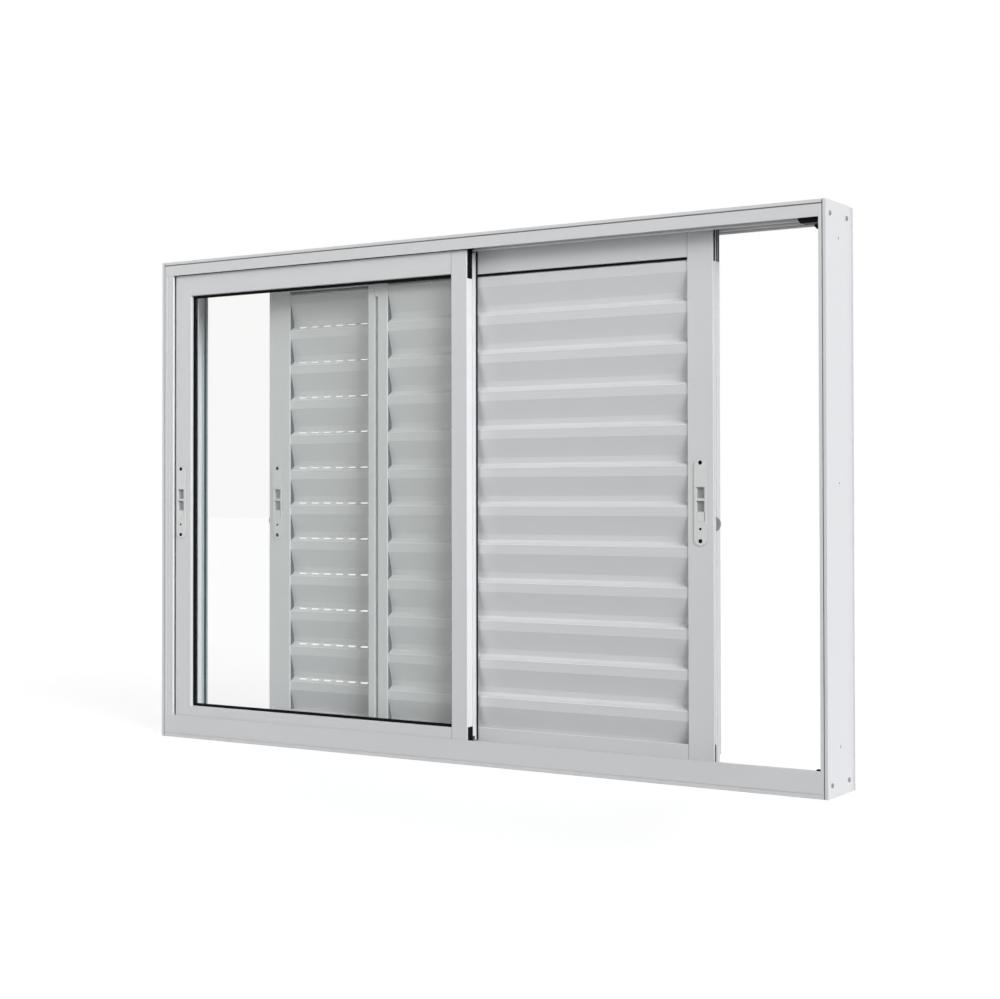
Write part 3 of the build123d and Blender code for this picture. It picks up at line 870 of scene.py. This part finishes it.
def makeSlatEnds(values):
    # grey plates that close the ends of the hollows, painted shade of the stiles' pockets, and a round bead
    # along each crest and along the bottom rail's front edge, its white a painted highlight
    inset, thick, radius = values["endInset"], values["endThickness"], values["beadRadius"]
    turns = [2 * math.pi * i / values["beadTurns"] for i in range(values["beadTurns"])]
    for leaf in louvreLeaves:
        low, high = boxOf(leaf + "_top_rail")
        railTop = boxOf(leaf + "_bottom_rail")[1].z
        floor = railTop + inset
        ends, beads = bmesh.new(), bmesh.new()
        centres = []
        for number in range(values["count"]):
            crest = low.z - values["firstDrop"] - number * values["pitch"]
            outline = [(low.y + y * mm, max(crest + z * mm, floor)) for y, z in values["hollow"]]
            addExtrusion(ends, outline, low.x + inset, low.x + inset + thick)
            addExtrusion(ends, outline, high.x - inset - thick, high.x - inset)
            centres.append((low.y + values["beadDepth"], crest - values["beadDrop"]))
        centres.append((low.y + values["railBead"], railTop - values["railBead"]))
        for y, z in centres:
            circle = [(y + radius * math.cos(a), z + radius * math.sin(a)) for a in turns]
            addExtrusion(beads, circle, low.x + values["beadInset"], high.x - values["beadInset"])
        newPiece(leaf + "_slat_end_shades", ends, "slatEndShade", bodyOfLeaf[leaf])
        newPiece(leaf + "_slat_beads", beads, "paintedLight", bodyOfLeaf[leaf])


# thumb sliders with two finger scoops, in place of the plain ones
fingerScoop = {
    "depth": 5.2 * mm,
    "landDepth": 0.5 * mm,
    "shadeFrom": 0.9 * mm,  # below this the moulding is painted grey, as painted shade in the scoops
    "ridgeDepth": 0.2 * mm,
    "slotDepth": 4 * mm,
    # in mm: top and foot of each scoop below the slider's top, the lengths of its sloping walls,
    # where its side walls start and end, and a dark slot at the right of the land
    "scoops": ((0.3, 20.6), (23.8, 44.4)),
    "topWall": 1.4,
    "footWall": 3.2,
    "leftWall": (0.4, 1.0),
    "rightWall": (0.4, 4.5),
    "slot": (0.9, 1.3),
    "columns": 28,
    "rows": 90,
}


def ease(value, start, end):
    # 0 before start, 1 after end, with a soft turn at both
    share = min(max((value - start) / (end - start), 0), 1)
    return share * share * (3 - 2 * share)


def scoopDepth(values, across, down, width):
    # across, down and width in mm, from the slider's left edge and top; the depth in metres
    left = ease(across, *values["leftWall"])
    right = ease(width - across, *values["rightWall"])
    along = 0
    for top, foot in values["scoops"]:
        walls = ease(down, top, top + values["topWall"]) * ease(foot - down, 0, values["footWall"])
        along = max(along, walls)
    lastFoot = values["scoops"][-1][1]
    base = values["ridgeDepth"] if down < lastFoot else values["landDepth"]
    depth = base + (values["depth"] - base) * left * right * along
    if down > lastFoot:
        depth = max(depth, values["slotDepth"] * (1 - ease(width - across, *values["slot"])))
    return depth


def makeThumbSliders(values):
    columns, rows = values["columns"], values["rows"]
    for leaf, body in bodyOfLeaf.items():
        low, high = boxOf(leaf + "_thumb_slider")
        size = high - low
        mesh = bmesh.new()
        grid = []
        for row in range(rows + 1):
            down = size.z * row / rows
            line = []
            for column in range(columns + 1):
                across = size.x * column / columns
                depth = scoopDepth(values, across / mm, down / mm, size.x / mm)
                line.append(mesh.verts.new((low.x + across, low.y + depth, high.z - down)))
            grid.append(line)
        for row in range(rows):
            for column in range(columns):
                corners = (grid[row][column], grid[row][column + 1])
                corners += (grid[row + 1][column + 1], grid[row + 1][column])
                mesh.faces.new(corners).smooth = True
        rim = grid[0] + [line[-1] for line in grid[1:]]
        rim += grid[-1][-2::-1] + [line[0] for line in grid[-2:0:-1]]
        back = [mesh.verts.new((vert.co.x, high.y, vert.co.z)) for vert in rim]
        for i in range(len(rim)):
            j = (i + 1) % len(rim)
            face = mesh.faces.new((rim[i], rim[j], back[j], back[i]))
            face.edges[0].smooth = False  # the rim stays sharp
        mesh.faces.new(back)
        piece = newPiece(leaf + "_scooped_slider", mesh, "whitePlastic", body)
        # faces deeper than shadeFrom take the grey: painted shade in the scoops and the slot
        piece.data.materials.append(finishes["scoopShade"])
        for polygon in piece.data.polygons:
            polygon.material_index = int(polygon.center.y > low.y + values["shadeFrom"])
        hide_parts(leaf + "_thumb_slider")


# thin dark rim round the foot of each latch plate: painted shadow of the plate's raised edge
plateShadowRim = {
    "rim": 0.35 * mm,
    "height": 0.45 * mm,
    "turns": 24,  # faces of each round end
}


def makePlateShadowRims(values):
    for leaf, body in bodyOfLeaf.items():
        low, high = boxOf(leaf + "_latch_plate")
        face = boxOf(leaf + "_lock_stile")[0].y
        middle = (low + high) / 2
        radius = (high.x - low.x) / 2
        straight = (high.z - low.z) / 2 - radius
        rings = []
        tall, wide = values["height"], values["rim"]
        for reach, depth in ((0, tall), (wide, tall), (wide, 0), (0, 0)):
            ring = []
            for sign in (1, -1):
                for i in range(values["turns"] + 1):
                    angle = math.pi * i / values["turns"]
                    x = middle.x + sign * (radius + reach) * math.cos(angle)
                    z = middle.z + sign * (straight + (radius + reach) * math.sin(angle))
                    ring.append((x, face - depth, z))
            rings.append(ring)
        mesh = bmesh.new()
        loops = [[mesh.verts.new(point) for point in ring] for ring in rings]
        count = len(loops[0])
        for first, second in zip(loops, loops[1:] + loops[:1]):
            for i in range(count):
                j = (i + 1) % count
                mesh.faces.new((first[i], first[j], second[j], second[i]))
        newPiece(leaf + "_plate_gasket", mesh, "greyShade", body)


# white strip on the web of the left jamb's front channel, painted light where the channel lies in shade, and
# a draught strip in the channel
jambPaintedLightAndStrip = {
    "thickness": 0.4 * mm,
    "clear": 0.08 * mm,
    "depths": (7 * mm, 31.5 * mm),
    "web": 1.6 * mm,
    "stripStart": 13.2 * mm,
    # outline of the draught strip, in mm from its start and from the jamb's face
    "strip": (
        (0, 1.5), (1.6, 1.5), (2.0, 0.6), (7.4, 0.6), (7.8, 1.3), (8.8, 1.3), (9.2, 0.6),
        (16.6, 0.6), (17.4, 1.4), (17.4, 5.0), (0, 5.2),
    ),
}


def makeJambPaintedLightAndStrip(values):
    foot = boxOf("sill_track")[1].z
    top = boxOf("head_track")[0].z
    low, high = boxOf("left_jamb")
    start = low.x + values["web"] + values["clear"]
    near, far = (low.y + depth for depth in values["depths"])
    mesh = bmesh.new()
    addBlock(mesh, (start, near, foot), (start + values["thickness"], far, top))
    newPiece("left_jamb_painted_light", mesh, "paintedLight", "frame")
    start = low.x + values["stripStart"]
    outline = [(start + x * mm, low.y + y * mm) for x, y in values["strip"]]
    mesh = bmesh.new()
    addExtrusion(mesh, outline, foot, top, axis="Z")
    newPiece("left_draught_strip", mesh, "coatUpright", "frame")


# black strip in the gap between the glazed leaf's front and the head: painted shade of that gap
headGapShade = {
    "foot": -0.7 * mm,  # both are heights above the foot of the head
    "top": 2 * mm,
    "thickness": 1.2 * mm,
}


def makeHeadGapShade(values):
    head = boxOf("head_track")[0].z
    low, high = boxOf("glass_lock_stile")
    right = boxOf("glass_meeting_stile")[1].x
    mesh = bmesh.new()
    front = low.y - values["thickness"]
    addBlock(mesh, (low.x, front, head + values["foot"]), (right, low.y, head + values["top"]))
    newPiece("glass_head_gap_shade", mesh, "rubber", "glass_leaf")


makeFrameScrews(panScrew)
makePlateScrews(plateScrew, plateHoleShade)
makeBrushSeal(brushSeal)
makeSlatLips(slatLip)
makeGrooveFillers(grooveFiller)
makeJambSeals(jambSeal)
makeBackFins(backFin)
print("screws, seals, lips and fins made")
makeGrooveShadeStrips(grooveShadeStrip)
makeJointSealant(jointSealant)
makeFinBeads(finBead)
makeCapCovers(capCover)
print("tape, sealant, beads and cap covers made")
makeSlatEnds(slatShape)
makeThumbSliders(fingerScoop)
makePlateShadowRims(plateShadowRim)
makeJambPaintedLightAndStrip(jambPaintedLightAndStrip)
makeHeadGapShade(headGapShade)
print("slat ends, sliders, gaskets and linings made")


# floor and light
studio = {
    "floorSize": 60,
    "floorColour": (0.46, 0.46, 0.46, 1),
    "floorGlow": 0.71,  # added where the floor is seen, so that it comes out white
    "ambient": 0.14,
    "sky": (1, 1, 1, 1),
}
topSoftbox = {
    "place": (0.35, -1.7, 2.0),
    "aim": (0.1, 0, 0.9),
    "size": (4.4, 0.7),
    "strength": 11,
    "colour": (1, 0.98, 0.95),
}
sunDistance = 3  # only where a sun is drawn, as its light is the same from any distance
lamps = {
    # azimuth turns from straight in front of the window to its right, and softness is the angle
    # that the lamp takes up
    "sideSoftbox": {
        "azimuth": 66,
        "elevation": 20,
        "softness": 34,
        "strength": 2.68,
        "colour": (0.95, 0.97, 1.0),
    },
    "leftFill": {
        "azimuth": -64,  # turned so far that the pane doesn't mirror it to the camera
        "elevation": 3,
        "softness": 24,
        "strength": 0.55,
        "colour": (1, 0.99, 0.975),
    },
    "backLight": {
        "azimuth": -150,
        "elevation": 46,
        "softness": 30,
        "strength": 1.2,
        "colour": (1, 1, 1),
    },
}


def seenRays(tree):
    # 1 where the floor or the world is seen, directly, in gloss or through glass
    path = tree.nodes.new("ShaderNodeLightPath")
    total = path.outputs["Is Camera Ray"]
    for ray in ("Is Glossy Ray", "Is Transmission Ray"):
        either = tree.nodes.new("ShaderNodeMath")
        either.operation = "MAXIMUM"
        tree.links.new(total, either.inputs[0])
        tree.links.new(path.outputs[ray], either.inputs[1])
        total = either.outputs["Value"]
    return total


def makeFloor(values):
    mesh = bmesh.new()
    bmesh.ops.create_grid(mesh, x_segments=1, y_segments=1, size=values["floorSize"] / 2)
    data = bpy.data.meshes.new("floor")
    mesh.to_mesh(data)
    mesh.free()
    floor = bpy.data.objects.new("floor", data)
    scene.collection.objects.link(floor)
    material, tree, output = newMaterial("paleFloor")
    diffuse = addNode(tree, "BsdfDiffuse", Color=values["floorColour"])
    glow = tree.nodes.new("ShaderNodeEmission")
    level = tree.nodes.new("ShaderNodeMath")
    level.operation = "MULTIPLY"
    level.inputs[1].default_value = values["floorGlow"]
    tree.links.new(seenRays(tree), level.inputs[0])
    tree.links.new(level.outputs["Value"], glow.inputs["Strength"])
    both = tree.nodes.new("ShaderNodeAddShader")
    tree.links.new(diffuse.outputs["BSDF"], both.inputs[0])
    tree.links.new(glow.outputs["Emission"], both.inputs[1])
    tree.links.new(both.outputs["Shader"], output.inputs["Surface"])
    data.materials.append(material)


def makeWorld(values):
    world = bpy.data.worlds.new("studioWorld")
    scene.world = world
    world.use_nodes = True
    tree = world.node_tree
    tree.nodes.clear()
    output = tree.nodes.new("ShaderNodeOutputWorld")
    background = addNode(tree, "Background", Color=values["sky"])
    strength = tree.nodes.new("ShaderNodeMapRange")
    strength.inputs["To Min"].default_value = values["ambient"]
    strength.inputs["To Max"].default_value = 1
    tree.links.new(seenRays(tree), strength.inputs["Value"])
    tree.links.new(strength.outputs["Result"], background.inputs["Strength"])
    tree.links.new(background.outputs["Background"], output.inputs["Surface"])


def makeLamp(name, values):
    data = bpy.data.lights.new(name, "SUN")
    data.angle = math.radians(values["softness"])
    data.energy = values["strength"]
    data.color = values["colour"]
    lamp = bpy.data.objects.new(name, data)
    azimuth, elevation = math.radians(values["azimuth"]), math.radians(values["elevation"])
    flat = math.cos(elevation)
    away = Vector((math.sin(azimuth) * flat, -math.cos(azimuth) * flat, math.sin(elevation)))
    lamp.location = sunDistance * away
    lamp.rotation_euler = away.to_track_quat("Z", "Y").to_euler()
    scene.collection.objects.link(lamp)


def makeSoftbox(name, values):
    data = bpy.data.lights.new(name, "AREA")
    data.shape = "RECTANGLE"
    data.size, data.size_y = values["size"]
    data.energy = values["strength"]
    data.color = values["colour"]
    lamp = bpy.data.objects.new(name, data)
    away = Vector(values["place"]) - Vector(values["aim"])
    lamp.location = values["place"]
    lamp.rotation_euler = away.to_track_quat("Z", "Y").to_euler()
    scene.collection.objects.link(lamp)


makeFloor(studio)
makeWorld(studio)
makeSoftbox("topSoftbox", topSoftbox)
for lampName, lampValues in lamps.items():
    makeLamp(lampName, lampValues)
print("studio made")


# camera where the photograph was taken from
view = {
    "place": (1.911, -2.8439, 0.504),
    "yaw": 33.0,  # degrees to the left of straight ahead
    "pitch": 0.92,
    "roll": -0.0915,
    "lens": 64.32,
    "sensor": 36,
    "shiftY": -0.0317,
    "clipStart": 0.05,
}


def makeCamera(values):
    data = bpy.data.cameras.new("photoCamera")
    data.lens = values["lens"]
    data.sensor_width = values["sensor"]
    data.sensor_fit = "HORIZONTAL"
    data.shift_y = values["shiftY"]
    data.clip_start = values["clipStart"]
    camera = bpy.data.objects.new("photoCamera", data)
    turn = Matrix.Rotation(math.radians(values["yaw"]), 4, "Z")
    tilt = Matrix.Rotation(math.radians(90 + values["pitch"]), 4, "X")
    roll = Matrix.Rotation(math.radians(values["roll"]), 4, "Z")
    camera.matrix_world = Matrix.Translation(values["place"]) @ turn @ tilt @ roll
    scene.collection.objects.link(camera)
    scene.camera = camera


makeCamera(view)
scene.view_settings.view_transform = "Standard"
print("camera made")
